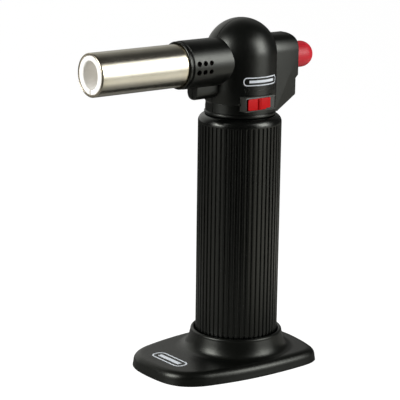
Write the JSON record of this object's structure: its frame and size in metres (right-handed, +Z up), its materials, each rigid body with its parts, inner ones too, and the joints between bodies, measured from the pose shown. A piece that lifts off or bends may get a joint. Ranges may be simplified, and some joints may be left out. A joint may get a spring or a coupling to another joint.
{
  "type": "butane torch",
  "caption": "Bench butane torch: fluted cylindrical tank handle in a removable stand, domed head with a horizontal steel burner, rear igniter button and side gas slider.",
  "frame": {"origin": "on the ground plane, under the axis of the cylindrical handle", "axes": "+Z up along the handle's axis; the burner points along -X, the igniter button along +X; the gas slider is on the -Y side"},
  "size_m": [0.1436, 0.0696, 0.1874],
  "materials": {
    "black_plastic": "satin moulded plastic",
    "bezel_plastic": "fine matte",
    "red_plastic": "smooth",
    "polished_steel": "polished, heat-tinted at the holder end",
    "white_ceramic": "unglazed white",
    "brass": "turned",
    "steel": "plain",
    "rubber": "matte",
    "tank_nylon": "natural nylon",
    "wick_felt": "felt",
    "clear_hose": "smooth",
    "lead_insulation": "smooth",
    "igniter_plastic": "smooth"
  },
  "bodies": {
    "stand": {"base_stand": "black_plastic"},
    "torch": {"handle_sleeve": "black_plastic", "head_shell_left": "black_plastic", "head_shell_right": "black_plastic", "burner_collar": "black_plastic", "slider_bezel": "bezel_plastic", "burner_tube": "polished_steel", "ceramic_liner": "white_ceramic", "flame_holder": "brass", "mixing_tube": "brass", "burner_bulkhead": "brass", "gas_jet": "brass", "jet_elbow": "brass", "gas_hose": "clear_hose", "electrode_insulator": "white_ceramic", "ignition_electrode": "steel", "ignition_lead": "lead_insulation", "piezo_case": "igniter_plastic", "piezo_crystal": "white_ceramic", "piezo_hammer": "steel", "piezo_spring": "steel", "outlet_valve_body": "brass", "valve_gasket": "rubber", "valve_gland_nut": "brass", "fuel_tank": "tank_nylon", "tank_end_plug": "tank_nylon", "plug_seal": "rubber", "fuel_wick": "wick_felt", "fill_valve_body": "brass", "fill_valve_spring": "steel", "fill_valve_seal": "rubber", "head_screw_1": "steel", "head_screw_2": "steel", "head_screw_3": "steel", "head_screw_4": "steel"},
    "igniter": {"igniter_button": "red_plastic", "piezo_plunger": "igniter_plastic"},
    "slider": {"flow_slider": "red_plastic"},
    "flow_valve": {"flow_lever": "steel", "flow_spindle": "brass"},
    "fill_stem": {"fill_valve_stem": "brass"}
  },
  "joints": [
    {"name": "torch_lift", "type": "slide", "parent": "stand", "child": "torch", "axis": [0, 0, 1], "range_m": [0, 0.03]},
    {"name": "igniter_press", "type": "slide", "parent": "torch", "child": "igniter", "axis": [-1, 0, 0], "range_m": [0, 0.0055], "stiffness_N_per_m": 900, "springref_m": -0.002, "deforming": ["piezo_spring"]},
    {"name": "flow_slide", "type": "slide", "parent": "torch", "child": "slider", "axis": [1, 0, 0], "range_m": [0, 0.0027]},
    {"name": "flow_turn", "type": "hinge", "parent": "torch", "child": "flow_valve", "pos_m": [0, 0, 0.153], "axis": [0, 0, 1], "range_deg": [0, 13.1]},
    {"name": "fill_stem_press", "type": "slide", "parent": "torch", "child": "fill_stem", "axis": [0, 0, 1], "range_m": [0, 0.002], "stiffness_N_per_m": 300, "springref_m": -0.001, "deforming": ["fill_valve_spring"]}
  ],
  "couplings": [
    {"joint": "flow_turn", "follows": "flow_slide", "rad_per_m": 84.2}
  ]
}
